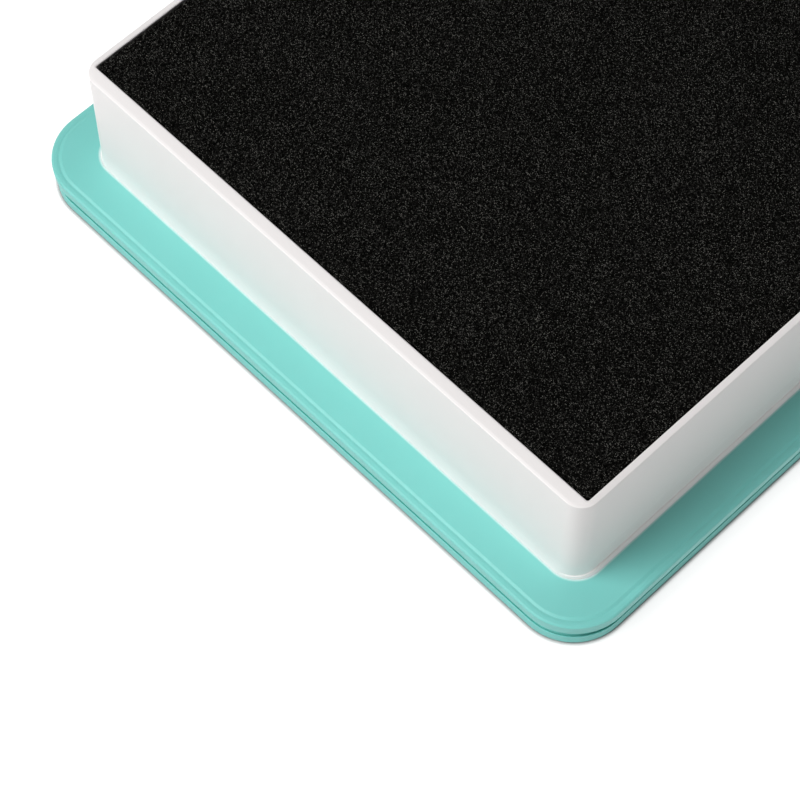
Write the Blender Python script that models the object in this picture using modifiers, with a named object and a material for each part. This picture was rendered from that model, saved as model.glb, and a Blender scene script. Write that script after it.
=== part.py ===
"""Framed foam filter panel: a white frame on a soft lip seal, foam above, a glued pleat pack below.

The short side runs along X, the long side along Y and the air path along Z. The origin is the
middle of the footprint on the resting plane. All lengths are in metres.
"""

import math

import bmesh
import bpy
from mathutils import Matrix, Vector

MM = 0.001

# Shared fit
CLEARANCE = 0.3 * MM            # gap between pieces that touch

# Frame walls, measured outside
FRAME_WIDTH = 130.0 * MM        # along X
FRAME_LENGTH = 170.0 * MM       # along Y
SIDE_WALL = 1.3 * MM            # the two long walls, which face X
END_WALL = 2.8 * MM             # the two short walls, which face Y
WALL_CORNER = 3.0 * MM          # outer corner radius
WALL_RISE = 27.7 * MM           # rim above the top of the seal
FOOT_LIFT = 0.6 * MM            # frame's lower edge above the resting plane

# Frame foot, which the seal grips
COVE_RADIUS = 1.1 * MM          # hollow fillet where the wall meets the seal
FLANGE_REACH = 5.5 * MM         # flange beyond the wall
FLANGE_THICKNESS = 2.0 * MM

# Frame ledge, which carries the grid
LEDGE_REACH = 3.0 * MM
LEDGE_THICKNESS = 1.5 * MM

# Lip seal section: reaches are measured out from the frame's wall
SEAL_FLOOR = 2.8 * MM           # rubber under the flange
SEAL_ROOF = 2.3 * MM            # rubber over the flange
UPPER_LIP_REACH = 9.4 * MM
UPPER_LIP_THICKNESS = 2.0 * MM
LIP_BAND = 1.0 * MM             # lowered band along the lip's edge
LIP_STEP = 0.35 * MM            # how far that band is lowered
GROOVE_REACH = 7.8 * MM         # wall between the two lips
LOWER_LIP_REACH = 8.7 * MM
LOWER_LIP_HEIGHT = 2.0 * MM
LIP_ROUNDING = 0.4 * MM         # rounding of the lower lip's edges

# Foam pad
FOAM_THICKNESS = 10.0 * MM
FOAM_SETBACK = 0.3 * MM         # foam below the rim
FOAM_EDGE = 0.5 * MM            # worn edge of the cut foam

# Support grid
GRID_THICKNESS = 1.7 * MM
GRID_BORDER = 3.2 * MM
GRID_BAR = 2.0 * MM
GRID_CELL = 16.0 * MM           # widest opening between bars

# Pleat pack
OUTLET_RECESS = 6.5 * MM        # lower folds above the resting plane
PLEAT_PITCH = 5.4 * MM
PLEAT_FOLD = 1.3 * MM           # width of a fold's flat tip
PLEAT_SHEET = 0.6 * MM          # thickness of the sheet

# Glue
BEAD_WIDTH = 2.2 * MM
BEAD_HEIGHT = 9.0 * MM
BEAD_ROUNDING = 0.7 * MM
THREAD_DIAMETER = 1.0 * MM
THREAD_COUNT = 4

# Smoothness of round forms
CORNER_STEPS = 8                # facets in a quarter turn of a wall corner
COVE_STEPS = 5
EDGE_STEPS = 2                  # facets in a small rounded edge

# Heights and inner sizes worked out from the sizes above
FLANGE_BOTTOM = SEAL_FLOOR + CLEARANCE
FLANGE_TOP = FLANGE_BOTTOM + FLANGE_THICKNESS
SEAL_TOP = FLANGE_TOP + CLEARANCE + SEAL_ROOF
RIM_TOP = SEAL_TOP + WALL_RISE
FOAM_TOP = RIM_TOP - FOAM_SETBACK
FOAM_BOTTOM = FOAM_TOP - FOAM_THICKNESS
GRID_TOP = FOAM_BOTTOM - CLEARANCE
GRID_BOTTOM = GRID_TOP - GRID_THICKNESS
LEDGE_TOP = GRID_BOTTOM - CLEARANCE
LEDGE_BOTTOM = LEDGE_TOP - LEDGE_THICKNESS
PLEAT_TOP = LEDGE_BOTTOM - CLEARANCE
PLEAT_BOTTOM = OUTLET_RECESS
CAVITY_WIDTH = FRAME_WIDTH - 2 * SIDE_WALL
CAVITY_LENGTH = FRAME_LENGTH - 2 * END_WALL
PACK_INSET = BEAD_WIDTH + 2 * CLEARANCE
PACK_WIDTH = CAVITY_WIDTH - 2 * PACK_INSET
PACK_LENGTH = CAVITY_LENGTH - 2 * PACK_INSET


def clear_scene():
    for old in list(bpy.data.objects):
        bpy.data.objects.remove(old, do_unlink=True)


def new_collection(name):
    collection = bpy.data.collections.new(name)
    bpy.context.scene.collection.children.link(collection)
    return collection


def make_material(name, colour, roughness):
    material = bpy.data.materials.new(name)
    material.use_nodes = True
    shader = material.node_tree.nodes["Principled BSDF"]
    shader.inputs["Base Color"].default_value = (*colour, 1.0)
    shader.inputs["Roughness"].default_value = roughness
    shader.inputs["Metallic"].default_value = 0.0
    return material


def mesh_object(name, mesh, collection, material=None):
    thing = bpy.data.objects.new(name, mesh)
    collection.objects.link(thing)
    if material is not None:
        mesh.materials.append(material)
    return thing


def finish_bmesh(name, bm):
    """Turn a bmesh into a mesh with its faces pointing out."""
    bmesh.ops.recalc_face_normals(bm, faces=bm.faces)
    mesh = bpy.data.meshes.new(name)
    bm.to_mesh(mesh)
    bm.free()
    return mesh


def smooth_rounds(mesh):
    mesh.shade_smooth()
    mesh.set_sharp_from_angle(angle=math.radians(30))


def rounded_rectangle(width, length, radius):
    """Outline points, anticlockwise; a radius of zero gives plain corners."""
    if radius == 0:
        return [
            (width / 2, -length / 2),
            (width / 2, length / 2),
            (-width / 2, length / 2),
            (-width / 2, -length / 2),
        ]
    points = []
    centres = [(1, -1), (1, 1), (-1, 1), (-1, -1)]
    for quarter, (side_x, side_y) in enumerate(centres):
        centre_x = side_x * (width / 2 - radius)
        centre_y = side_y * (length / 2 - radius)
        for step in range(CORNER_STEPS + 1):
            turn = math.pi / 2 * (quarter - 1 + step / CORNER_STEPS)
            points.append((centre_x + radius * math.cos(turn), centre_y + radius * math.sin(turn)))
    return points


def plate(name, outlines, bottom, top, collection, material=None):
    """A flat plate whose first outline is its edge and whose other outlines are holes."""
    curve = bpy.data.curves.new(name, "CURVE")
    curve.dimensions = "2D"
    curve.fill_mode = "BOTH"
    curve.extrude = (top - bottom) / 2
    for outline in outlines:
        spline = curve.splines.new("POLY")
        spline.points.add(len(outline) - 1)
        for point, (x, y) in zip(spline.points, outline):
            point.co = (x, y, 0, 1)
        spline.use_cyclic_u = True
    flat = bpy.data.objects.new(name + "_outline", curve)
    collection.objects.link(flat)
    flat.location.z = (top + bottom) / 2
    return curve_to_mesh(name, flat, collection, material)


def curve_to_mesh(name, source, collection, material=None):
    """Replace a curve object by a welded mesh object in the same place."""
    bpy.context.view_layer.update()
    seen = source.evaluated_get(bpy.context.evaluated_depsgraph_get())
    bm = bmesh.new()
    bm.from_mesh(bpy.data.meshes.new_from_object(seen))
    bmesh.ops.remove_doubles(bm, verts=bm.verts, dist=1e-6)
    thing = mesh_object(name, finish_bmesh(name, bm), collection, material)
    thing.matrix_world = source.matrix_world.copy()
    bpy.data.objects.remove(source, do_unlink=True)
    return thing


def swept_ring(name, section, collection, material=None):
    """Carry a closed section of (reach, height) points round the frame's outer wall line."""
    straight_x = FRAME_WIDTH - 2 * WALL_CORNER
    straight_y = FRAME_LENGTH - 2 * WALL_CORNER
    bm = bmesh.new()
    start = [bm.verts.new((FRAME_WIDTH / 2 + reach, -straight_y / 2, height)) for reach, height in section]
    moving = [bm.edges.new((a, b)) for a, b in zip(start, start[1:] + start[:1])]
    sides = [
        (Vector((0, straight_y, 0)), Vector((straight_x / 2, straight_y / 2, 0))),
        (Vector((-straight_x, 0, 0)), Vector((-straight_x / 2, straight_y / 2, 0))),
        (Vector((0, -straight_y, 0)), Vector((-straight_x / 2, -straight_y / 2, 0))),
        (Vector((straight_x, 0, 0)), Vector((straight_x / 2, -straight_y / 2, 0))),
    ]
    for run, corner in sides:
        pulled = bmesh.ops.extrude_edge_only(bm, edges=moving)["geom"]
        bmesh.ops.translate(bm, verts=[v for v in pulled if isinstance(v, bmesh.types.BMVert)], vec=run)
        moving = [e for e in pulled if isinstance(e, bmesh.types.BMEdge)]
        ends = {vert for edge in moving for vert in edge.verts}
        turned = bmesh.ops.spin(
            bm,
            geom=moving + list(ends),
            cent=corner,
            axis=(0, 0, 1),
            angle=math.pi / 2,
            steps=CORNER_STEPS,
        )["geom_last"]
        moving = [e for e in turned if isinstance(e, bmesh.types.BMEdge)]
    bmesh.ops.remove_doubles(bm, verts=bm.verts, dist=1e-6)
    thing = mesh_object(name, finish_bmesh(name, bm), collection, material)
    smooth_rounds(thing.data)
    return thing


def box(name, size, centre, collection, material=None):
    bm = bmesh.new()
    bmesh.ops.create_cube(bm, size=1.0, matrix=Matrix.Diagonal((*size, 1.0)))
    thing = mesh_object(name, finish_bmesh(name, bm), collection, material)
    thing.location = centre
    return thing


def round_edges(thing, width):
    bevel = thing.modifiers.new("rounded_edges", "BEVEL")
    bevel.width = width
    bevel.segments = EDGE_STEPS
    smooth_rounds(thing.data)


def join_with(thing, other):
    union = thing.modifiers.new("join_" + other.name, "BOOLEAN")
    union.operation = "UNION"
    union.solver = "EXACT"
    union.object = other
    other.hide_render = True
    other.display_type = "WIRE"


def build_frame(parts, cutters, material):
    """Four walls, with the foot and flange outside and the ledge inside."""
    cavity = rounded_rectangle(CAVITY_WIDTH, CAVITY_LENGTH, 0)
    walls = rounded_rectangle(FRAME_WIDTH, FRAME_LENGTH, WALL_CORNER)
    frame = plate("filter_frame", [walls, cavity], FOOT_LIFT, RIM_TOP, parts, material)

    bite = SIDE_WALL / 2
    foot = [(-bite, FLANGE_BOTTOM), (FLANGE_REACH, FLANGE_BOTTOM), (FLANGE_REACH, FLANGE_TOP)]
    foot.append((COVE_RADIUS, FLANGE_TOP))
    for step in range(COVE_STEPS + 1):
        turn = math.pi / 2 * step / COVE_STEPS
        reach = COVE_RADIUS * (1 - math.sin(turn))
        foot.append((reach, SEAL_TOP + COVE_RADIUS * (1 - math.cos(turn))))
    foot.append((-bite, SEAL_TOP + COVE_RADIUS))
    join_with(frame, swept_ring("frame_foot", foot, cutters))

    seat = rounded_rectangle(CAVITY_WIDTH + 2 * bite, CAVITY_LENGTH + 2 * bite, 0)
    air = rounded_rectangle(CAVITY_WIDTH - 2 * LEDGE_REACH, CAVITY_LENGTH - 2 * LEDGE_REACH, 0)
    join_with(frame, plate("frame_ledge", [seat, air], LEDGE_BOTTOM, LEDGE_TOP, cutters))
    smooth_rounds(frame.data)


def build_seal(parts, material):
    """Soft ring with a slot for the frame's flange and two lips outside."""
    lip_top = SEAL_TOP - LIP_STEP
    lip_bottom = lip_top - UPPER_LIP_THICKNESS
    slot_reach = FLANGE_REACH + CLEARANCE
    section = [
        (CLEARANCE, 0),
        (LOWER_LIP_REACH - LIP_ROUNDING, 0),
        (LOWER_LIP_REACH, LIP_ROUNDING),
        (LOWER_LIP_REACH, LOWER_LIP_HEIGHT - LIP_ROUNDING),
        (LOWER_LIP_REACH - LIP_ROUNDING, LOWER_LIP_HEIGHT),
        (GROOVE_REACH, LOWER_LIP_HEIGHT),
        (GROOVE_REACH, lip_bottom),
        (UPPER_LIP_REACH, lip_bottom),
        (UPPER_LIP_REACH, lip_top),
        (UPPER_LIP_REACH - LIP_BAND, lip_top),
        (UPPER_LIP_REACH - LIP_BAND, SEAL_TOP),
        (COVE_RADIUS + CLEARANCE, SEAL_TOP),
        (COVE_RADIUS + CLEARANCE, FLANGE_TOP + CLEARANCE),
        (slot_reach, FLANGE_TOP + CLEARANCE),
        (slot_reach, FLANGE_BOTTOM - CLEARANCE),
        (CLEARANCE, FLANGE_BOTTOM - CLEARANCE),
    ]
    swept_ring("lip_seal", section, parts, material)


def build_foam(parts, material):
    size = (CAVITY_WIDTH - 2 * CLEARANCE, CAVITY_LENGTH - 2 * CLEARANCE, FOAM_THICKNESS)
    foam = box("foam_pad", size, (0, 0, (FOAM_TOP + FOAM_BOTTOM) / 2), parts, material)
    round_edges(foam, FOAM_EDGE)


def spread_cells(span):
    """Centres and width of the fewest equal cells that keep within the widest opening."""
    inside = span - 2 * GRID_BORDER
    count = math.ceil((inside + GRID_BAR) / (GRID_CELL + GRID_BAR))
    pitch = (inside + GRID_BAR) / count
    centres = [pitch * (index - (count - 1) / 2) for index in range(count)]
    return centres, pitch - GRID_BAR


def build_grid(parts, material):
    width = CAVITY_WIDTH - 2 * CLEARANCE
    length = CAVITY_LENGTH - 2 * CLEARANCE
    columns, cell_width = spread_cells(width)
    rows, cell_length = spread_cells(length)
    cell = rounded_rectangle(cell_width, cell_length, 0)
    outlines = [rounded_rectangle(width, length, 0)]
    for x in columns:
        for y in rows:
            outlines.append([(x + corner_x, y + corner_y) for corner_x, corner_y in cell])
    plate("support_grid", outlines, GRID_BOTTOM, GRID_TOP, parts, material)


def build_pleats(parts, material):
    """One sheet folded up and down along Y, with flat tips, and straight along X."""
    count = int(PACK_LENGTH / PLEAT_PITCH)
    pitch = PACK_LENGTH / count
    low = PLEAT_BOTTOM + PLEAT_SHEET / 2
    high = PLEAT_TOP - PLEAT_SHEET / 2
    folds = []
    for index in range(count):
        start = -PACK_LENGTH / 2 + pitch * index
        middle = start + pitch / 2
        folds.append((start + PLEAT_FOLD / 2, low))
        folds.append((middle - PLEAT_FOLD / 2, high))
        folds.append((middle + PLEAT_FOLD / 2, high))
        folds.append((start + pitch - PLEAT_FOLD / 2, low))
    bm = bmesh.new()
    points = [bm.verts.new((-PACK_WIDTH / 2, y, z)) for y, z in folds]
    edges = [bm.edges.new(pair) for pair in zip(points, points[1:])]
    pulled = bmesh.ops.extrude_edge_only(bm, edges=edges)["geom"]
    far_edge = [item for item in pulled if isinstance(item, bmesh.types.BMVert)]
    bmesh.ops.translate(bm, verts=far_edge, vec=(PACK_WIDTH, 0, 0))
    pack = mesh_object("pleat_pack", finish_bmesh("pleat_pack", bm), parts, material)
    sheet = pack.modifiers.new("sheet", "SOLIDIFY")
    sheet.thickness = PLEAT_SHEET
    sheet.offset = 0
    sheet.use_even_offset = True


def build_glue_beads(parts, material):
    """A bead along each wall, under the ledge, between the wall and the pack."""
    middle_z = PLEAT_TOP - BEAD_HEIGHT / 2
    off_x = CAVITY_WIDTH / 2 - CLEARANCE - BEAD_WIDTH / 2
    off_y = CAVITY_LENGTH / 2 - CLEARANCE - BEAD_WIDTH / 2
    long_bead = (BEAD_WIDTH, PACK_LENGTH, BEAD_HEIGHT)
    short_bead = (CAVITY_WIDTH - 2 * CLEARANCE, BEAD_WIDTH, BEAD_HEIGHT)
    beads = {
        "glue_bead_left": (long_bead, (-off_x, 0, middle_z)),
        "glue_bead_right": (long_bead, (off_x, 0, middle_z)),
        "glue_bead_front": (short_bead, (0, -off_y, middle_z)),
        "glue_bead_rear": (short_bead, (0, off_y, middle_z)),
    }
    for name, (size, centre) in beads.items():
        round_edges(box(name, size, centre, parts, material), BEAD_ROUNDING)


def build_spacer_threads(parts, material):
    """Straight threads of glue across the lower folds, evenly spread over the width."""
    spacing = PACK_WIDTH / THREAD_COUNT
    height = PLEAT_BOTTOM - CLEARANCE - THREAD_DIAMETER / 2
    for index in range(THREAD_COUNT):
        name = "spacer_thread_" + str(index + 1)
        curve = bpy.data.curves.new(name, "CURVE")
        curve.dimensions = "3D"
        curve.bevel_depth = THREAD_DIAMETER / 2
        curve.bevel_resolution = 2
        curve.use_fill_caps = True
        spline = curve.splines.new("POLY")
        spline.points.add(1)
        for point, end in zip(spline.points, (-1, 1)):
            point.co = (0, end * PACK_LENGTH / 2, 0, 1)
        curve.materials.append(material)
        thread = bpy.data.objects.new(name, curve)
        thread.location = (spacing * (index - (THREAD_COUNT - 1) / 2), 0, height)
        parts.objects.link(thread)


def main():
    clear_scene()
    parts = new_collection("foam_filter_panel")
    cutters = new_collection("foam_filter_panel_joined_shapes")
    white = make_material("white_plastic", (0.82, 0.83, 0.83), 0.4)
    teal = make_material("teal_rubber", (0.25, 0.68, 0.62), 0.5)
    black = make_material("black_foam", (0.012, 0.011, 0.010), 0.9)
    paper = make_material("filter_paper", (0.80, 0.80, 0.76), 0.85)
    glue = make_material("clear_glue", (0.78, 0.74, 0.62), 0.35)
    build_frame(parts, cutters, white)
    build_seal(parts, teal)
    build_foam(parts, black)
    build_grid(parts, white)
    build_pleats(parts, paper)
    build_glue_beads(parts, glue)
    build_spacer_threads(parts, glue)


main()
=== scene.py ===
import math

import bmesh
import bpy
import numpy as np
from mathutils import Matrix, Vector
from mathutils.geometry import delaunay_2d_cdt


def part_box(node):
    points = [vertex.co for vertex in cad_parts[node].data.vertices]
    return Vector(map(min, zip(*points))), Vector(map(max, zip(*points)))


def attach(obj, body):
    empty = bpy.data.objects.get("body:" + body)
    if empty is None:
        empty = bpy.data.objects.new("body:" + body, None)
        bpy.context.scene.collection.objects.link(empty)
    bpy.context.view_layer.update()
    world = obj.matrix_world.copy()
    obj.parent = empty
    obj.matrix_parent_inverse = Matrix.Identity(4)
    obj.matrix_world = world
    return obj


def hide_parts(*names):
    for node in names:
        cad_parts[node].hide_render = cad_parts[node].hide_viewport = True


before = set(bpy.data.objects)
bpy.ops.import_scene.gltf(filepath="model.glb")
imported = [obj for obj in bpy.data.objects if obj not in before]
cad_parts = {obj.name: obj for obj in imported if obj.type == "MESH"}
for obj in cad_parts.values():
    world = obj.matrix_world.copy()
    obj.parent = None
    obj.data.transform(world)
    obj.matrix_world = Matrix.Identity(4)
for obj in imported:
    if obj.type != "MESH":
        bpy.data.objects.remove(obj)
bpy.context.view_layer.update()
mm = 0.001
print("frame loaded:", len(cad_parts), "nodes")

# sizes that every piece shares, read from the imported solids
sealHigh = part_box("lip_seal")[1]
frameLow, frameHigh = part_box("filter_frame")
foamLow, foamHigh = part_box("foam_pad")
gridLow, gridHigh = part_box("support_grid")
packLow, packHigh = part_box("pleat_pack")

shell = {
    "toe": 0.56 * mm,           # edge of the frame's foot beyond its wall, where the seal starts
    "shoulder": 7.28 * mm,      # where the seal's flat ends
    "lipReach": 9.4 * mm,       # the seal's own edge
    "wallCorner": 4.0 * mm,     # corner radius at the wall, then at those three
    "toeCorner": 5.8 * mm,
    "shoulderCorner": 9.9 * mm,
    "lipCorner": 11.9 * mm,
    "cavityCorner": 0.5 * mm,   # inner corner of the frame
    "cornerSteps": 14,
    "sideHold": 0.25 * mm,      # loop that keeps a long side straight
    "edgeSteps": 4,             # arc of a rounded edge
    "edgeHold": 0.06 * mm,      # loops that keep a flat between two edges flat
    "flatLeast": 0.24 * mm,     # shortest flat that gets them
    "sharpAngle": 40.0,         # degrees, where smooth shading stops
    "fitGap": 0.3 * mm,         # foam and grid to the frame's wall
}
wallX = sealHigh.x - shell["lipReach"]
wallY = sealHigh.y - shell["lipReach"]
cavityX = foamHigh.x + shell["fitGap"]
cavityY = foamHigh.y + shell["fitGap"]
rimTop = frameHigh.z
sealTop = sealHigh.z


# materials

def newMaterial(name):
    material = bpy.data.materials.new(name)
    material.use_nodes = True
    tree = material.node_tree
    return material, tree, tree.nodes["Principled BSDF"]


def addNode(tree, kind, **settings):
    node = tree.nodes.new(kind)
    for key, value in settings.items():
        setattr(node, key, value)
    return node


def setInputs(node, values):
    for name, value in values.items():
        node.inputs[name].default_value = value


def noiseAt(tree, scale, detail=2.0, roughness=0.55, stretch=None):
    place = addNode(tree, "ShaderNodeTexCoord")
    noise = addNode(tree, "ShaderNodeTexNoise")
    setInputs(noise, {"Scale": scale, "Detail": detail, "Roughness": roughness})
    source = place.outputs["Object"]
    if stretch is not None:
        mapping = addNode(tree, "ShaderNodeMapping")
        setInputs(mapping, {"Scale": stretch})
        tree.links.new(source, mapping.inputs["Vector"])
        source = mapping.outputs["Vector"]
    tree.links.new(source, noise.inputs["Vector"])
    return noise.outputs["Fac"]


def rampOf(tree, source, shades):
    # shades holds (position, colour)
    ramp = addNode(tree, "ShaderNodeValToRGB")
    elements = ramp.color_ramp.elements
    while len(elements) < len(shades):
        elements.new(0.5)
    for element, (position, colour) in zip(elements, shades):
        element.position = position
        element.color = (*colour, 1.0)
    tree.links.new(source, ramp.inputs["Fac"])
    return ramp.outputs["Color"]


def spread(tree, source, low, high, start=0.0, end=1.0):
    # what runs from start to end comes out from low to high
    mapRange = addNode(tree, "ShaderNodeMapRange")
    setInputs(mapRange, {"From Min": start, "From Max": end, "To Min": low, "To Max": high})
    tree.links.new(source, mapRange.inputs["Value"])
    return mapRange.outputs["Result"]


def pairOf(tree, operation, first, second):
    node = addNode(tree, "ShaderNodeMath", operation=operation)
    tree.links.new(first, node.inputs[0])
    tree.links.new(second, node.inputs[1])
    return node.outputs["Value"]


def bumpFrom(tree, source, strength, distance):
    bump = addNode(tree, "ShaderNodeBump")
    setInputs(bump, {"Strength": strength, "Distance": distance})
    tree.links.new(source, bump.inputs["Height"])
    return bump.outputs["Normal"]


def mouldedGrain(tree, shader, look):
    # fine grain that breaks up the gloss, and a little light from within
    grain = noiseAt(tree, look["grainScale"])
    bump = bumpFrom(tree, grain, look["grainStrength"], look["grainDepth"])
    tree.links.new(spread(tree, grain, *look["roughness"]), shader.inputs["Roughness"])
    tree.links.new(bump, shader.inputs["Normal"])
    setInputs(shader, {
        "Subsurface Weight": look["glow"],
        "Subsurface Radius": look["glowTint"],
        "Subsurface Scale": look["glowReach"],
    })


plasticLook = {
    "shades": [(0.3, (0.874, 0.844, 0.837)), (0.7, (0.893, 0.863, 0.856))],
    "cloudScale": 38.0,
    "grainScale": 2600.0,
    "grainStrength": 0.25,
    "grainDepth": 0.012 * mm,
    "roughness": (0.34, 0.46),
    "glow": 0.06,
    "glowTint": (1.0, 1.0, 1.0),
    "glowReach": 0.6 * mm,
}


def whitePlastic():
    look = plasticLook
    material, tree, shader = newMaterial("whitePlastic")
    clouds = noiseAt(tree, look["cloudScale"])
    tree.links.new(rampOf(tree, clouds, look["shades"]), shader.inputs["Base Color"])
    mouldedGrain(tree, shader, look)
    return material


rubberLook = {
    "shades": [(0.3, (0.19, 0.588, 0.543)), (0.7, (0.2, 0.605, 0.56))],
    "feather": (0.72, 0.86, 0.85),  # thin inner edge that the white shows through
    "cloudScale": 30.0,
    "grainScale": 3200.0,
    "grainStrength": 0.3,
    "grainDepth": 0.01 * mm,
    "roughness": (0.42, 0.54),
    "gloss": 0.45,
    "glow": 0.12,
    "glowTint": (0.4, 1.0, 0.9),
    "glowReach": 1.0 * mm,
}


def tealRubber():
    look = rubberLook
    material, tree, shader = newMaterial("tealRubber")
    clouds = noiseAt(tree, look["cloudScale"])
    thin = addNode(tree, "ShaderNodeAttribute", attribute_name="thin")
    edged = addNode(tree, "ShaderNodeMix", data_type="RGBA")
    setInputs(edged, {"B": (*look["feather"], 1.0)})
    tree.links.new(thin.outputs["Fac"], edged.inputs["Factor"])
    tree.links.new(rampOf(tree, clouds, look["shades"]), edged.inputs["A"])
    tree.links.new(edged.outputs["Result"], shader.inputs["Base Color"])
    mouldedGrain(tree, shader, look)
    setInputs(shader, {"Specular IOR Level": look["gloss"]})
    return material


# colours of the black foam, from painted shade in the pores to painted glints on the struts' tips
foamLook = {
    "shades": [
        (0.0, (0.0004, 0.0004, 0.0003)),    # pore, painted shade
        (0.15, (0.0034, 0.0033, 0.003)),    # cell wall, painted shade
        (0.4, (0.027, 0.0264, 0.024)),      # strut
        (1.0, (0.36, 0.352, 0.326)),        # tip of a strut, painted glint
    ],
    "glintScale": 4400.0,       # painted glints on the struts' tips, to the metre
    "glintStray": 0.75,
    "glintReach": (0.6, 0.08),  # where a painted glint starts, and where it is at full strength
    "glintChance": (0.15, 1.0),
    "sunk": 0.85,               # share of a painted glint left in a pit, dimmed there as painted shade
    "roughness": 0.7,
    "gloss": 0.01,
}


def blackFoam():
    look = foamLook
    material, tree, shader = newMaterial("blackFoam")
    # painted glints: bright dots scattered over the surface, dimmed in the pits as painted shade
    strutGlint = addNode(tree, "ShaderNodeAttribute", attribute_name="strutGlint")
    place = addNode(tree, "ShaderNodeTexCoord")
    glintDots = addNode(tree, "ShaderNodeTexVoronoi")
    setInputs(glintDots, {"Scale": look["glintScale"], "Randomness": look["glintStray"]})
    tree.links.new(place.outputs["Object"], glintDots.inputs["Vector"])
    chance = addNode(tree, "ShaderNodeSeparateColor")
    tree.links.new(glintDots.outputs["Color"], chance.inputs["Color"])
    tip = spread(tree, glintDots.outputs["Distance"], 0.0, 1.0, *look["glintReach"])
    shine = pairOf(tree, "MULTIPLY", tip, spread(tree, chance.outputs["Red"], *look["glintChance"]))
    level = pairOf(tree, "MULTIPLY", shine, spread(tree, strutGlint.outputs["Fac"], look["sunk"], 1.0))
    tree.links.new(rampOf(tree, level, look["shades"]), shader.inputs["Base Color"])
    setInputs(shader, {"Roughness": look["roughness"], "Specular IOR Level": look["gloss"]})
    return material


paperLook = {
    "shades": [(0.35, (0.74, 0.74, 0.70)), (0.6, (0.86, 0.86, 0.83))],
    "fibreScale": 900.0,
    "fibreDetail": (5.0, 0.7),  # how many layers of fibres, and how strong the fine ones are
    "fibreStretch": (1.0, 0.25, 0.25),
    "fibreStrength": 0.5,
    "fibreDepth": 0.03 * mm,
    "roughness": 0.88,
    "sheen": 0.15,
}


def filterPaper():
    look = paperLook
    material, tree, shader = newMaterial("filterPaper")
    fibres = noiseAt(tree, look["fibreScale"], *look["fibreDetail"], look["fibreStretch"])
    bump = bumpFrom(tree, fibres, look["fibreStrength"], look["fibreDepth"])
    tree.links.new(rampOf(tree, fibres, look["shades"]), shader.inputs["Base Color"])
    tree.links.new(bump, shader.inputs["Normal"])
    setInputs(shader, {"Roughness": look["roughness"], "Sheen Weight": look["sheen"]})
    return material


glueLook = {
    "shades": [(0.35, (0.76, 0.71, 0.58)), (0.65, (0.84, 0.80, 0.68))],
    "cloudScale": 240.0,
    "cloudDetail": 3.0,
    "dimpleStrength": 0.3,
    "dimpleDepth": 0.1 * mm,
    "roughness": 0.28,
    "glow": 0.25,
    "glowReach": 1.2 * mm,
}


def setGlue():
    look = glueLook
    material, tree, shader = newMaterial("setGlue")
    clouds = noiseAt(tree, look["cloudScale"], look["cloudDetail"])
    bump = bumpFrom(tree, clouds, look["dimpleStrength"], look["dimpleDepth"])
    tree.links.new(rampOf(tree, clouds, look["shades"]), shader.inputs["Base Color"])
    tree.links.new(bump, shader.inputs["Normal"])
    setInputs(shader, {
        "Roughness": look["roughness"],
        "Subsurface Weight": look["glow"],
        "Subsurface Scale": look["glowReach"],
    })
    return material


plastic = whitePlastic()
rubber = tealRubber()
foamBlack = blackFoam()
paper = filterPaper()
glue = setGlue()
print("materials made")


# pieces made of rows of points

def meshPiece(name, bm, material):
    bmesh.ops.recalc_face_normals(bm, faces=bm.faces)
    mesh = bpy.data.meshes.new(name)
    bm.to_mesh(mesh)
    bm.free()
    mesh.materials.append(material)
    mesh.shade_smooth()
    piece = bpy.data.objects.new(name, mesh)
    bpy.context.scene.collection.objects.link(piece)
    return piece


def joinRows(bm, row, following):
    # quads from one closed row of points to the next
    for a, b, c, d in zip(row, row[1:] + row[:1], following[1:] + following[:1], following):
        bm.faces.new((a, b, c, d))


def loftRing(name, loops, material):
    # loops round the frame, the last joined to the first
    bm = bmesh.new()
    rings = [[bm.verts.new(point) for point in loop] for loop in loops]
    for ring, following in zip(rings, rings[1:] + rings[:1]):
        joinRows(bm, ring, following)
    return meshPiece(name, bm, material)


def loftTube(name, rings, material):
    # closed outlines joined in a row, with both ends filled
    bm = bmesh.new()
    rows = [[bm.verts.new(point) for point in ring] for ring in rings]
    for row, following in zip(rows, rows[1:]):
        joinRows(bm, row, following)
    for row in (rows[0], rows[-1]):
        for k in range(len(row) // 2 - 1):
            bm.faces.new((row[k], row[k + 1], row[-2 - k], row[-1 - k]))
    return meshPiece(name, bm, material)


def storeShares(piece, name, shares):
    # one number for each point, which the piece's material reads
    store = piece.data.attributes.new(name, "FLOAT", "POINT")
    store.data.foreach_set("value", shares)


def standFor(piece, node, body="frame"):
    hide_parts(node)
    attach(piece, body)


# loops round the frame, and the sections that they follow

def ringLoop(halfX, halfY, radius, height):
    # rounded rectangle, with a holding point before and after each corner's arc
    steps = shell["cornerSteps"]
    hold = shell["sideHold"]
    points = []
    for quarter, (sideX, sideY) in enumerate([(1, -1), (1, 1), (-1, 1), (-1, -1)]):
        centreX = sideX * (halfX - radius)
        centreY = sideY * (halfY - radius)
        first = math.pi / 2 * (quarter - 1)
        last = first + math.pi / 2
        arc = [first + math.pi / 2 * step / steps for step in range(steps + 1)]
        corner = [(centreX + radius * math.cos(a), centreY + radius * math.sin(a)) for a in arc]
        (startX, startY), (endX, endY) = corner[0], corner[-1]
        points.append((startX - hold * math.cos(last), startY - hold * math.sin(last)))
        points.extend(corner)
        points.append((endX - hold * math.sin(last), endY + hold * math.cos(last)))
    return [(x, y, height) for x, y in points]


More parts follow.
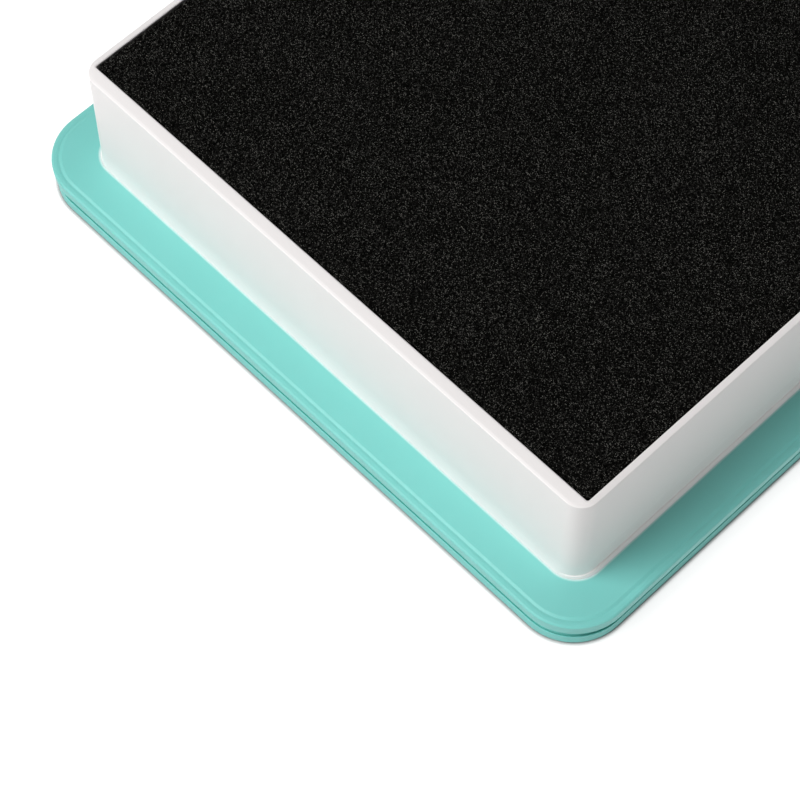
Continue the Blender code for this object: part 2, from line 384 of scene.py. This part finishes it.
def outerLoop(reach, height, lean=0):
    # corners open out from the wall to the foot, and on to the seal's edge
    stops = [
        (-shell["wallCorner"], 0),
        (0, shell["wallCorner"]),
        (shell["toe"], shell["toeCorner"]),
        (shell["shoulder"], shell["shoulderCorner"]),
        (shell["lipReach"], shell["lipCorner"]),
    ]
    radius = np.interp(reach, *zip(*stops))
    return ringLoop(wallX + reach - lean, wallY + reach, radius, height)


def innerLoop(inset, height):
    return ringLoop(cavityX - inset, cavityY - inset, shell["cavityCorner"], height)


def softCorners(section, steps=shell["edgeSteps"], hold=shell["edgeHold"], closed=False):
    # section holds (offset, height, radius): a corner becomes an arc, and a flat gets two holding points
    count = len(section)
    rounded = []
    for index, (offset, height, radius) in enumerate(section):
        here = Vector((offset, height))
        atEnd = not closed and index in (0, count - 1)
        if radius == 0 or atEnd:
            rounded.append([here])
            continue
        before = Vector(section[index - 1][:2]) - here
        after = Vector(section[(index + 1) % count][:2]) - here
        half = before.angle(after) / 2
        reach = radius / math.tan(half)
        centre = here + (before.normalized() + after.normalized()).normalized() * radius / math.sin(half)
        start = here + before.normalized() * reach - centre
        turn = start.angle_signed(here + after.normalized() * reach - centre)
        rounded.append([centre + Matrix.Rotation(-turn * s / steps, 2) @ start for s in range(steps + 1)])
    points = []
    for index, arc in enumerate(rounded):
        points.extend(arc)
        if index == count - 1 and not closed:
            break
        onward = rounded[(index + 1) % count][0] - arc[-1]
        if hold is not None and onward.length > shell["flatLeast"]:
            points.append(arc[-1] + onward.normalized() * hold)
            points.append(arc[-1] + onward - onward.normalized() * hold)
    return [(p.x, p.y) for p in points]


# white frame

frameShape = {
    # foot, as reach beyond the wall and rise above the seal
    "toeRise": 0.06 * mm,               # its outer edge
    "roll": (0.38 * mm, 0.6 * mm),      # top of that edge
    "rollEdge": 0.04 * mm,
    "crease": (0.37 * mm, 0.69 * mm),   # sloped band above it: lower end, hollow and upper end
    "bandHollow": (0.1 * mm, 2.2 * mm),
    "bandTop": (0, 3.6 * mm),
    "bandEdge": 0.08 * mm,
    # long sides: how far they stand in at the band's upper and lower end, and out at the foot's edge
    "bandLean": 0.12 * mm,
    "creaseLean": 0.1 * mm,
    "rollOut": 0.17 * mm,
    "toeOut": 0.38 * mm,
    "bandBend": 4.6 * mm,               # rise above the seal where they start to bend in
    "toeStart": (0.1 * mm, 0.6 * mm),   # above the flange, from where to where they step out
    "sideFade": 4.0 * mm,               # how far into the seal that is felt
    # flange in the seal, rim and ledge
    "flangeReach": 5.5 * mm,
    "flangeBottom": 3.1 * mm,
    "flangeTop": 5.1 * mm,
    "footEdge": 0.25 * mm,
    "footMiddle": (0.5 * mm, 0.4 * mm),     # loops under the foot, in from its outer and inner side
    "rimEdge": 0.2 * mm,                # rounding of the rim's outer edge, then of its inner one
    "rimInner": 0.3 * mm,
    "rimFall": 0.36 * mm,               # rim's slope down to its outer edge
    "rimMiddle": (0.6 * mm, 0.4 * mm),  # loops on the rim, in from its outer and inner side
    "rimMiddleFall": (0.5, 0.25),       # share of that slope's fall at each
    "ledgeReach": 3.0 * mm,
    "ledgeThick": 1.5 * mm,
    "ledgeEdge": 0.25 * mm,
}


def sideLean(height):
    # how far the long sides stand in at this height, or out where it is below zero
    size = frameShape
    outStart, outFull = size["toeStart"]
    stops = [
        (size["flangeTop"] + outStart, 0),
        (size["flangeTop"] + outFull, -size["toeOut"]),
        (sealTop + size["toeRise"], -size["toeOut"]),
        (sealTop + size["roll"][1], -size["rollOut"]),
        (sealTop + size["crease"][1], size["creaseLean"]),
        (sealTop + size["bandTop"][1], size["bandLean"]),
        (sealTop + size["bandBend"], 0),
    ]
    return np.interp(height, *zip(*stops))


def whiteFrame():
    size = frameShape
    foot = frameLow.z
    toe = shell["toe"]
    footOuter, footInner = size["footMiddle"]
    rimOuter, rimInner = size["rimMiddle"]
    outerFall, innerFall = size["rimMiddleFall"]
    outside = [
        (-footOuter, foot, 0),
        (0, foot, size["footEdge"]),
        (0, size["flangeBottom"], size["footEdge"]),
        (size["flangeReach"], size["flangeBottom"], size["footEdge"]),
        (size["flangeReach"], size["flangeTop"], size["footEdge"]),
        (toe, size["flangeTop"], size["footEdge"]),
        (toe, sealTop + size["toeRise"], size["rollEdge"]),
        (size["roll"][0], sealTop + size["roll"][1], size["rollEdge"]),
        (size["crease"][0], sealTop + size["crease"][1], 0),
        (size["bandHollow"][0], sealTop + size["bandHollow"][1], 0),
        (size["bandTop"][0], sealTop + size["bandTop"][1], size["bandEdge"]),
        (0, sealTop + size["bandBend"], 0),
        (0, rimTop - size["rimFall"], size["rimEdge"]),
        (-rimOuter, rimTop - size["rimFall"] * outerFall, 0),
    ]
    ledgeTop = gridLow.z - shell["fitGap"]
    ledgeLow = ledgeTop - size["ledgeThick"]
    inside = [
        (-rimInner, rimTop - size["rimFall"] * innerFall, 0),
        (0, rimTop, size["rimInner"]),
        (0, ledgeTop, size["ledgeEdge"]),
        (size["ledgeReach"], ledgeTop, size["ledgeEdge"]),
        (size["ledgeReach"], ledgeLow, size["ledgeEdge"]),
        (0, ledgeLow, size["ledgeEdge"]),
        (0, foot, size["footEdge"]),
        (-footInner, foot, 0),
    ]
    loops = [outerLoop(offset, height, sideLean(height)) for offset, height in softCorners(outside)]
    loops += [innerLoop(offset, height) for offset, height in softCorners(inside)]
    piece = loftRing("whiteFrame", loops, plastic)
    piece.data.set_sharp_from_angle(angle=math.radians(shell["sharpAngle"]))
    standFor(piece, "filter_frame")


whiteFrame()
print("white frame made")


# teal seal

sealShape = {
    "touch": 0.02 * mm,         # seal's inner edge to the frame's toe
    "innerEdge": 0.03 * mm,
    "slotGap": 0.1 * mm,        # seal to the frame's flange
    "slotEdge": 0.12 * mm,
    "featherWidth": 0.5 * mm,   # how far the inner edge lets the white through
    # the upper lip from the flat outward, as reach, drop below the flat and rounding
    "shoulder": (shell["shoulder"], 0, 0.3 * mm),
    "groove": (7.85 * mm, 0.22 * mm, 0.25 * mm),
    "lipCrown": (8.35 * mm, 0.13 * mm, 0.4 * mm),
    "lipTurn": (8.95 * mm, 0.16 * mm, 0.25 * mm),
    "lipEdge": (9.28 * mm, 0.44 * mm, 0.12 * mm),
    "lipLow": (9.12 * mm, 3.15 * mm, 0.3 * mm),
    # the gap between the lips and the lower lip, as reach, height and rounding
    "root": (7.8 * mm, 4.7 * mm, 0.25 * mm),
    "hollow": (7.8 * mm, 1.2 * mm, 0.2 * mm),
    "lowerTip": (8.62 * mm, 2.55 * mm, 0.1 * mm),
    "lowerFoot": (8.75 * mm, 0, 0.4 * mm),
}


def tealSeal():
    size = sealShape
    toe = shell["toe"]
    slotReach = frameShape["flangeReach"] + size["slotGap"]
    slotBottom = frameShape["flangeBottom"] - size["slotGap"]
    slotTop = frameShape["flangeTop"] + size["slotGap"]
    section = [
        (toe + size["touch"], sealTop, size["innerEdge"]),
        (toe + size["featherWidth"], sealTop, 0),
    ]
    for name in ("shoulder", "groove", "lipCrown", "lipTurn", "lipEdge", "lipLow"):
        reach, drop, rounding = size[name]
        section.append((reach, sealTop - drop, rounding))
    section += [size[name] for name in ("root", "hollow", "lowerTip", "lowerFoot")]
    section += [
        (shell["fitGap"], 0, size["lowerFoot"][2]),
        (shell["fitGap"], slotBottom, size["slotEdge"]),
        (slotReach, slotBottom, size["slotEdge"]),
        (slotReach, slotTop, size["slotEdge"]),
        (toe + size["touch"], slotTop, size["slotEdge"]),
    ]
    outline = softCorners(section, closed=True)
    loops = []
    thin = []
    for offset, height in outline:
        felt = min(1, max(0, 1 - (offset - toe) / frameShape["sideFade"]))
        loops.append(outerLoop(offset, height, sideLean(height) * felt))
        thin += [max(0, 1 - (offset - toe) / size["featherWidth"])] * len(loops[-1])
    piece = loftRing("tealSeal", loops, rubber)
    storeShares(piece, "thin", thin)
    standFor(piece, "lip_seal")


tealSeal()
print("teal seal made")


# black foam: a skin of cells, each a pit with a ring of struts

foamShape = {
    "cell": 1.0 * mm,           # middle to middle of two cells
    "jitter": 0.34,             # share of a cell that its middle strays
    "pitDepth": 0.34 * mm,
    "pitSpread": 0.13 * mm,
    "pitLeast": 0.1 * mm,
    "strutSpread": 0.1 * mm,
    "strutGlintRange": (0.4, 1.0),   # painted glint on the dullest and brightest strut, where a pit is 0 as painted shade
    "swell": 0.1 * mm,          # slow rise and fall of the surface
    "swellTurns": (160, 120),   # how fast that goes along x and y, in radians to the metre
    "swellStart": (1.3, 0.4),
    "setback": 0.12 * mm,       # highest struts, below the rim
    "sideGap": 0.04 * mm,       # longest struts, to the frame's wall
    "drawnIn": 0.3 * mm,        # far sides, drawn in between their corners
    "drawnOver": 9.0 * mm,      # distance from a corner in which a far side draws in
    "drawnDepth": 12.0 * mm,    # how far into the pad the cells follow
    "edgeRound": 0.3 * mm,      # rounding of the cut edge
    "sideRows": 13,
    "sideStray": 0.3,           # share of a row that a side's strut strays
    "sideFray": 0.4 * mm,
    "sidePit": 0.55 * mm,
    "sideSunk": 0.4,            # share of the sides that is pits
    "seed": 7,
}
foamStart = (-cavityX + foamShape["sideGap"], -cavityY + foamShape["sideGap"])
foamEnd = (cavityX - foamShape["sideGap"], cavityY - foamShape["sideGap"])
foamTop = rimTop - foamShape["setback"]


def cellMiddles(rng):
    # staggered rows that stray a little, with a frayed row along each cut side
    size = foamShape
    (startX, startY), (endX, endY) = foamStart, foamEnd
    columns = int((endX - startX) / size["cell"])
    rows = int((endY - startY) / (size["cell"] * math.sqrt(3) / 2))
    row, column = np.mgrid[0:rows, 0:columns]
    x = startX + (endX - startX) / (columns - 0.5) * (column + 0.5 * (row % 2))
    y = startY + (endY - startY) / (rows - 1) * row
    edge = (row == 0) | (row == rows - 1) | (column == 0) | (column == columns - 1)
    stray = rng.uniform(-1, 1, (2, rows, columns)) * size["jitter"] * size["cell"] * ~edge
    fray = rng.uniform(0, 1, (rows, columns)) * size["sideFray"]
    x = np.where(column == 0, startX + fray, np.where(column == columns - 1, endX - fray, x + stray[0]))
    y = np.where(row == 0, startY + fray, np.where(row == rows - 1, endY - fray, y + stray[1]))
    return np.stack([x.ravel(), y.ravel()], -1), edge.ravel()


def cellWalls(middles, edge):
    # each triangle of neighbouring middles holds a strut joint; each pair of joints and a middle makes a wall
    nearness = 1e-5             # millimetres, at which two middles would be one
    found = delaunay_2d_cdt([Vector(point) for point in (middles / mm).tolist()], [], [], 0, nearness)
    triangles = np.array(found[2])
    triangles = triangles[~edge[triangles].all(1)]
    pairs = np.concatenate([triangles[:, [0, 1]], triangles[:, [1, 2]], triangles[:, [2, 0]]])
    owner = np.tile(np.arange(len(triangles)), 3) + len(middles)
    order = np.lexsort((pairs.max(1), pairs.min(1)))
    ends = np.sort(pairs[order], 1)
    owner = owner[order]
    shared = np.flatnonzero((ends[1:] == ends[:-1]).all(1))
    alone = np.ones(len(ends), bool)
    alone[shared] = False
    alone[shared + 1] = False
    walls = np.concatenate([
        np.stack([ends[shared, 0], owner[shared], owner[shared + 1]], -1),
        np.stack([ends[shared, 1], owner[shared + 1], owner[shared]], -1),
        np.stack([ends[alone, 0], ends[alone, 1], owner[alone]], -1),
    ])
    return triangles, walls


def faceUp(points, walls):
    a, b, c = (points[walls[:, k]] for k in range(3))
    area = (b[:, 0] - a[:, 0]) * (c[:, 1] - a[:, 1]) - (b[:, 1] - a[:, 1]) * (c[:, 0] - a[:, 0])
    walls[area < 0] = walls[area < 0][:, ::-1]
    return walls


def cellDrops(flat, isPit, rng):
    # how far each point lies below the pad's top
    size = foamShape
    pit = np.maximum(size["pitDepth"] + rng.normal(0, size["pitSpread"], len(flat)), size["pitLeast"])
    proud = np.abs(rng.normal(0, size["strutSpread"], len(flat)))
    drop = np.where(isPit, pit, proud)
    margin = np.minimum(flat - foamStart, np.array(foamEnd) - flat).min(1)
    inward = np.clip(1 - margin / size["edgeRound"], 0, 1)
    drop += size["edgeRound"] * (1 - np.sqrt(1 - inward ** 2))
    slow = np.sin(flat * size["swellTurns"] + size["swellStart"]).prod(1)
    return drop + size["swell"] * (0.5 + 0.5 * slow)


def setSide(place, inset):
    # moves a point of the pad's outline to its nearest side, less the inset
    gaps = [place.x - foamStart[0], foamEnd[0] - place.x, place.y - foamStart[1], foamEnd[1] - place.y]
    side = gaps.index(min(gaps))
    place[side // 2] = foamEnd[side // 2] - inset if side % 2 else foamStart[side // 2] + inset


def frayedSides(bm, glint, rng):
    # rows of struts and pits from the top's edge down to the flat underside
    size = foamShape
    rowEdges = [e for e in bm.edges if e.is_boundary]
    sideTop = foamTop - size["edgeRound"]
    depth = (sideTop - foamLow.z) / size["sideRows"]
    for step in range(size["sideRows"]):
        pulled = bmesh.ops.extrude_edge_only(bm, edges=rowEdges)["geom"]
        rowEdges = [g for g in pulled if isinstance(g, bmesh.types.BMEdge)]
        for vert in [g for g in pulled if isinstance(g, bmesh.types.BMVert)]:
            sunk = rng.random() < size["sideSunk"]
            inset = size["sidePit"] if sunk else rng.uniform(0, size["sideFray"])
            stray = rng.uniform(-size["sideStray"], size["sideStray"])
            vert.co.z = sideTop - depth * (step + 1) + stray * depth
            setSide(vert.co, inset)
            # a pit on the sides gets no painted glint, as painted shade; a strut gets a random one
            glint[vert] = 0.0 if sunk else rng.random()
    for vert in {v for e in rowEdges for v in e.verts}:
        vert.co.z = foamLow.z
    bmesh.ops.contextual_create(bm, geom=rowEdges)


def drawIn(place):
    # pulls the cells near the two far sides away from the frame
    size = foamShape
    fromLeft = place.x - foamStart[0]
    fromBack = foamEnd[1] - place.y
    leftEnds = min(place.y - foamStart[1], fromBack)
    backEnds = min(fromLeft, foamEnd[0] - place.x)
    leftPull = size["drawnIn"] * (1 - math.exp(-max(leftEnds, 0) / size["drawnOver"]))
    backPull = size["drawnIn"] * (1 - math.exp(-max(backEnds, 0) / size["drawnOver"]))
    place.x += leftPull * max(1 - fromLeft / size["drawnDepth"], 0)
    place.y -= backPull * max(1 - fromBack / size["drawnDepth"], 0)


def foamBlock():
    rng = np.random.default_rng(foamShape["seed"])
    middles, edge = cellMiddles(rng)
    triangles, walls = cellWalls(middles, edge)
    joints = middles[triangles].mean(1)
    flat = np.concatenate([middles, joints])
    isPit = np.concatenate([~edge, np.zeros(len(joints), bool)])
    points = np.column_stack([flat, foamTop - cellDrops(flat, isPit, rng)])
    # painted glint at each strut joint, random in strength; a pit gets none, as painted shade
    dull, bright = foamShape["strutGlintRange"]
    strutGlint = np.where(isPit, 0.0, dull + (bright - dull) * rng.random(len(flat)))

    bm = bmesh.new()
    verts = [bm.verts.new(point) for point in points]
    for a, b, c in faceUp(flat, walls).tolist():
        bm.faces.new((verts[a], verts[b], verts[c]))
    glint = dict(zip(verts, strutGlint.tolist()))
    frayedSides(bm, glint, rng)
    for vert in bm.verts:
        drawIn(vert.co)
    shares = [glint[vert] for vert in bm.verts]
    piece = meshPiece("foamBlock", bm, foamBlack)
    piece.data.shade_flat()
    storeShares(piece, "strutGlint", shares)
    standFor(piece, "foam_pad", "foam")
    print("foam faces:", len(piece.data.polygons))


foamBlock()
print("foam made")


# support grid under the foam

gridShape = {
    "border": 3.2 * mm,
    "bar": 2.0 * mm,
    "columns": 7,
    "rows": 9,
    "edge": 0.4 * mm,           # rounding of the bars
    "edgeSteps": 3,
    "edgeAngle": 1.0,           # radians, the least bend that is rounded
}


def gridStops(low, high, cells):
    # places across the grid where an opening starts or ends
    size = gridShape
    pitch = (high - low - 2 * size["border"] + size["bar"]) / cells
    starts = [low + size["border"] + pitch * cell for cell in range(cells)]
    return [low] + [stop for start in starts for stop in (start, start + pitch - size["bar"])] + [high]


def supportGrid():
    size = gridShape
    stopsX = gridStops(gridLow.x, gridHigh.x, size["columns"])
    stopsY = gridStops(gridLow.y, gridHigh.y, size["rows"])
    bm = bmesh.new()
    top = [[bm.verts.new((x, y, gridHigh.z)) for y in stopsY] for x in stopsX]
    for i in range(len(stopsX) - 1):
        for j in range(len(stopsY) - 1):
            if i % 2 == 0 or j % 2 == 0:
                bm.faces.new((top[i][j], top[i + 1][j], top[i + 1][j + 1], top[i][j + 1]))
    plates = bm.faces[:]
    borders = [edge.verts[:] for edge in bm.edges if edge.is_boundary]
    under = {vert: bm.verts.new((vert.co.x, vert.co.y, gridLow.z)) for vert in bm.verts[:]}
    for face in plates:
        bm.faces.new([under[vert] for vert in face.verts])
    for a, b in borders:
        bm.faces.new((a, b, under[b], under[a]))
    bmesh.ops.recalc_face_normals(bm, faces=bm.faces)
    bm.normal_update()
    bmesh.ops.bevel(
        bm,
        geom=[edge for edge in bm.edges if edge.calc_face_angle() > size["edgeAngle"]],
        offset=size["edge"],
        segments=size["edgeSteps"],
        profile=0.5,
        affect="EDGES",
    )
    piece = meshPiece("supportGrid", bm, plastic)
    piece.data.set_sharp_from_angle(angle=math.radians(shell["sharpAngle"]))
    standFor(piece, "support_grid")


supportGrid()
print("support grid made")


# pleated sheet

sheetShape = {
    "folds": 29,
    "thickness": 0.5 * mm,
    "tip": 1.3 * mm,            # width of a fold's tip
    "tipRound": 0.55 * mm,
    "tipSteps": 3,
    "columns": 26,              # steps along a fold
    "waver": 0.2 * mm,          # how far a fold strays from straight
    "waverLengths": ((17 * mm, 9 * mm), (29 * mm, -23 * mm)),   # two crossed waves, along x and y
    "waverEnds": 8,             # how late it dies out towards the two end folds
    "slump": 0.25 * mm,         # how much lower some folds stand
    "slumpLengths": (37 * mm, 13 * mm),
}
foldPitch = (packHigh.y - packLow.y + sheetShape["tip"] - sheetShape["thickness"]) / sheetShape["folds"]


def foldLine():
    # middle of the sheet, as (y, z)
    size = sheetShape
    low = packLow.z + size["thickness"] / 2
    high = packHigh.z - size["thickness"] / 2
    half = size["tip"] / 2
    corners = []
    for fold in range(size["folds"]):
        start = foldPitch * (fold - size["folds"] / 2)
        peak = start + foldPitch / 2
        end = start + foldPitch
        stops = [(start + half, low), (peak - half, high), (peak + half, high), (end - half, low)]
        corners += [(y, z, size["tipRound"]) for y, z in stops]
    return softCorners(corners, steps=size["tipSteps"], hold=None)


def sheetWave(x, y, lengths):
    return np.sin(x / lengths[0] + y / lengths[1])


def pleatedSheet():
    size = sheetShape
    line = np.array(foldLine())
    along = np.gradient(line, axis=0)
    normal = np.stack([-along[:, 1], along[:, 0]], -1)
    normal *= size["thickness"] / 2 / np.linalg.norm(normal, axis=1, keepdims=True)
    outline = np.concatenate([line + normal, (line - normal)[::-1]])
    outlineY, outlineZ = outline.T
    middle = (packLow.z + packHigh.z) / 2
    rise = (outlineZ - middle) / (packHigh.z - middle)
    firstWave, secondWave = size["waverLengths"]
    columns = []
    for x in np.linspace(packLow.x, packHigh.x, size["columns"]):
        stray = sheetWave(x, outlineY, firstWave) * sheetWave(x, outlineY, secondWave)
        lower = sheetWave(x, outlineY, size["slumpLengths"]) ** 2
        y = outlineY + size["waver"] * stray * (1 - (outlineY / packHigh.y) ** size["waverEnds"])
        z = outlineZ - size["slump"] * lower * rise
        columns.append(np.column_stack([np.full(len(y), x), y, z]).tolist())
    standFor(loftTube("pleatedSheet", columns, paper), "pleat_pack")


# glue beads along the sheet's edges and threads across its folds

beadShape = {
    "innerRound": 0.8 * mm,
    "wallRound": 0.3 * mm,
    "step": 1.5 * mm,
    "thinnest": 0.5 * mm,       # how far the free side may lie in
    "thinLengths": (5.3 * mm, 2.9 * mm),    # the two waves that decide how far it does
    "shortest": 1.6 * mm,       # how far the lower edge may stop short
    "shortLengths": (8.1 * mm, 4.3 * mm),
}


def beadWave(place, lengths, phases):
    # between 0 and 1
    first, second = (math.sin(place / length + phase) for length, phase in zip(lengths, phases))
    return 0.5 + 0.5 * first * second


def glueBead(side, phase):
    size = beadShape
    low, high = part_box("glue_bead_" + side)
    length = 0 if side in ("front", "rear") else 1
    across = 1 - length
    wall, free = (low[across], high[across]) if low[across] < 0 else (high[across], low[across])
    inward = math.copysign(1, wall)
    rings = []
    for place in np.linspace(low[length], high[length], int((high[length] - low[length]) / size["step"])):
        inner = free + inward * size["thinnest"] * beadWave(place, size["thinLengths"], (phase, 2 * phase))
        lower = low.z + size["shortest"] * beadWave(place, size["shortLengths"], (3 * phase, phase))
        section = [
            (wall, lower, size["wallRound"]),
            (inner, lower, size["innerRound"]),
            (inner, high.z, size["innerRound"]),
            (wall, high.z, size["wallRound"]),
        ]
        ring = softCorners(section, closed=True)
        rings.append([(place, offset, z) if length == 0 else (offset, place, z) for offset, z in ring])
    standFor(loftTube("glueBead_" + side, rings, glue), "glue_bead_" + side)


threadShape = {
    "count": 4,
    "thick": 0.48 * mm,         # radius at a fold, then between folds
    "thin": 0.32 * mm,
    "sag": 0.18 * mm,
    "grip": 0.04 * mm,          # how far a fold sinks into the thread
    "sides": 10,
    "stepsToFold": 8,
}


def spacerThread(number):
    size = threadShape
    low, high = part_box("spacer_thread_" + str(number))
    middle = (low.x + high.x) / 2
    turns = [2 * math.pi * side / size["sides"] for side in range(size["sides"])]
    rings = []
    for y in np.linspace(low.y, high.y, sheetShape["folds"] * size["stepsToFold"] + 1):
        held = 0.5 + 0.5 * math.cos(2 * math.pi * (y / foldPitch + sheetShape["folds"] / 2))
        radius = size["thin"] + (size["thick"] - size["thin"]) * held
        z = packLow.z + size["grip"] - size["thick"] - size["sag"] * (1 - held)
        rings.append([(middle + radius * math.cos(turn), y, z + radius * math.sin(turn)) for turn in turns])
    piece = loftTube("spacerThread_" + str(number), rings, glue)
    standFor(piece, "spacer_thread_" + str(number))


pleatedSheet()
for phase, side in enumerate(("front", "rear", "left", "right")):
    glueBead(side, phase)
for number in range(1, threadShape["count"] + 1):
    spacerThread(number)
print("pleats and glue made")


# floor, lamps and camera

stageLook = {
    "floorSize": 6.0,
    "floorColour": (0.68, 0.68, 0.68),  # as the light meets it
    "floorSeen": (0.32, 0.32, 0.32),    # as the camera sees it, with the glow added
    "floorGlow": 0.86,
    "contactShadowReach": 1.2 * mm,   # how far the painted contact shadow reaches from the object's foot
    # ambient occlusion at which the painted contact shadow is darkest, and at which it ends
    "contactShadowShare": (0.5, 0.9),
    "contactSamples": 8,
    "skyColour": (1.0, 0.99, 0.98),
    "skyLevel": 0.08,
    "skySeen": (1.0, 1.0, 1.0),
    "keyFrom": (-0.43, -0.93, 1.23),
    "keySize": 1.0,
    "keyPower": 23.8,
    "fillFrom": (1.5, -0.35, 0.24),
    "fillSize": 0.9,
    "fillPower": 7.0,
}


def seenByCamera(tree, lit, seen):
    # the camera, reflections and glass show what is seen; all other light meets what is lit
    path = addNode(tree, "ShaderNodeLightPath")
    direct = pairOf(tree, "MAXIMUM", path.outputs["Is Camera Ray"], path.outputs["Is Glossy Ray"])
    mix = addNode(tree, "ShaderNodeMixShader")
    tree.links.new(pairOf(tree, "MAXIMUM", direct, path.outputs["Is Transmission Ray"]), mix.inputs["Fac"])
    tree.links.new(lit, mix.inputs[1])
    tree.links.new(seen, mix.inputs[2])
    return mix.outputs["Shader"]


def floorMaterial():
    look = stageLook
    material, tree, shader = newMaterial("paleFloor")
    tree.nodes.remove(shader)
    lit = addNode(tree, "ShaderNodeBsdfDiffuse")
    setInputs(lit, {"Color": (*look["floorColour"], 1.0)})
    shown = addNode(tree, "ShaderNodeBsdfDiffuse")
    setInputs(shown, {"Color": (*look["floorSeen"], 1.0)})
    # painted contact shadow: the floor's glow for the camera dims where ambient occlusion finds the object
    # close
    contactShadow = addNode(tree, "ShaderNodeAmbientOcclusion", samples=look["contactSamples"])
    setInputs(contactShadow, {"Distance": look["contactShadowReach"]})
    level = spread(tree, contactShadow.outputs["AO"], 0.0, look["floorGlow"], *look["contactShadowShare"])
    glow = addNode(tree, "ShaderNodeEmission")
    tree.links.new(level, glow.inputs["Strength"])
    both = addNode(tree, "ShaderNodeAddShader")
    tree.links.new(shown.outputs["BSDF"], both.inputs[0])
    tree.links.new(glow.outputs["Emission"], both.inputs[1])
    surface = seenByCamera(tree, lit.outputs["BSDF"], both.outputs["Shader"])
    tree.links.new(surface, tree.nodes["Material Output"].inputs["Surface"])
    return material


def paleFloor():
    bm = bmesh.new()
    bmesh.ops.create_grid(bm, x_segments=1, y_segments=1, size=stageLook["floorSize"] / 2)
    floor = meshPiece("paleFloor", bm, floorMaterial())


def softSky():
    look = stageLook
    world = bpy.data.worlds.new("softSky")
    bpy.context.scene.world = world
    world.use_nodes = True
    tree = world.node_tree
    lit = tree.nodes["Background"]
    setInputs(lit, {"Color": (*look["skyColour"], 1.0), "Strength": look["skyLevel"]})
    seen = addNode(tree, "ShaderNodeBackground")
    setInputs(seen, {"Color": (*look["skySeen"], 1.0)})
    shown = seenByCamera(tree, lit.outputs["Background"], seen.outputs["Background"])
    tree.links.new(shown, tree.nodes["World Output"].inputs["Surface"])


def softLamp(name, place, size, power):
    data = bpy.data.lights.new(name, "AREA")
    data.shape = "DISK"
    data.size = size
    data.energy = power
    lamp = bpy.data.objects.new(name, data)
    bpy.context.scene.collection.objects.link(lamp)
    lamp.location = place
    lamp.rotation_euler = Vector(place).to_track_quat("Z", "Y").to_euler()


cameraView = {
    "azimuth": 46.26,           # degrees, from looking along +Y
    "elevation": 60.83,
    "roll": -0.59,
    "distance": 514.5 * mm,
    "aim": (27.05 * mm, -91.38 * mm),   # on the level of the rim
    "focalPixels": 2950.0,
    "imageSize": 800.0,
    "sensor": 36.0,
    "clipStart": 10 * mm,
}


def viewCamera():
    view = cameraView
    azimuth = math.radians(view["azimuth"])
    elevation = math.radians(view["elevation"])
    level = Vector((math.sin(azimuth), -math.cos(azimuth), 0))
    back = level * math.cos(elevation) + Vector((0, 0, math.sin(elevation)))
    right = Vector((0, 0, 1)).cross(back).normalized()
    up = back.cross(right)
    turn = Matrix((right, up, back)).transposed() @ Matrix.Rotation(math.radians(view["roll"]), 3, "Z")
    data = bpy.data.cameras.new("viewCamera")
    data.sensor_width = view["sensor"]
    data.lens = view["focalPixels"] / view["imageSize"] * view["sensor"]
    data.clip_start = view["clipStart"]
    camera = bpy.data.objects.new("viewCamera", data)
    bpy.context.scene.collection.objects.link(camera)
    aim = Vector((*view["aim"], rimTop))
    camera.matrix_world = Matrix.Translation(aim + back * view["distance"]) @ turn.to_4x4()
    bpy.context.scene.camera = camera


paleFloor()
softSky()
softLamp("keyLamp", stageLook["keyFrom"], stageLook["keySize"], stageLook["keyPower"])
softLamp("fillLamp", stageLook["fillFrom"], stageLook["fillSize"], stageLook["fillPower"])
viewCamera()
bpy.context.scene.view_settings.view_transform = "Standard"
print("stage set")
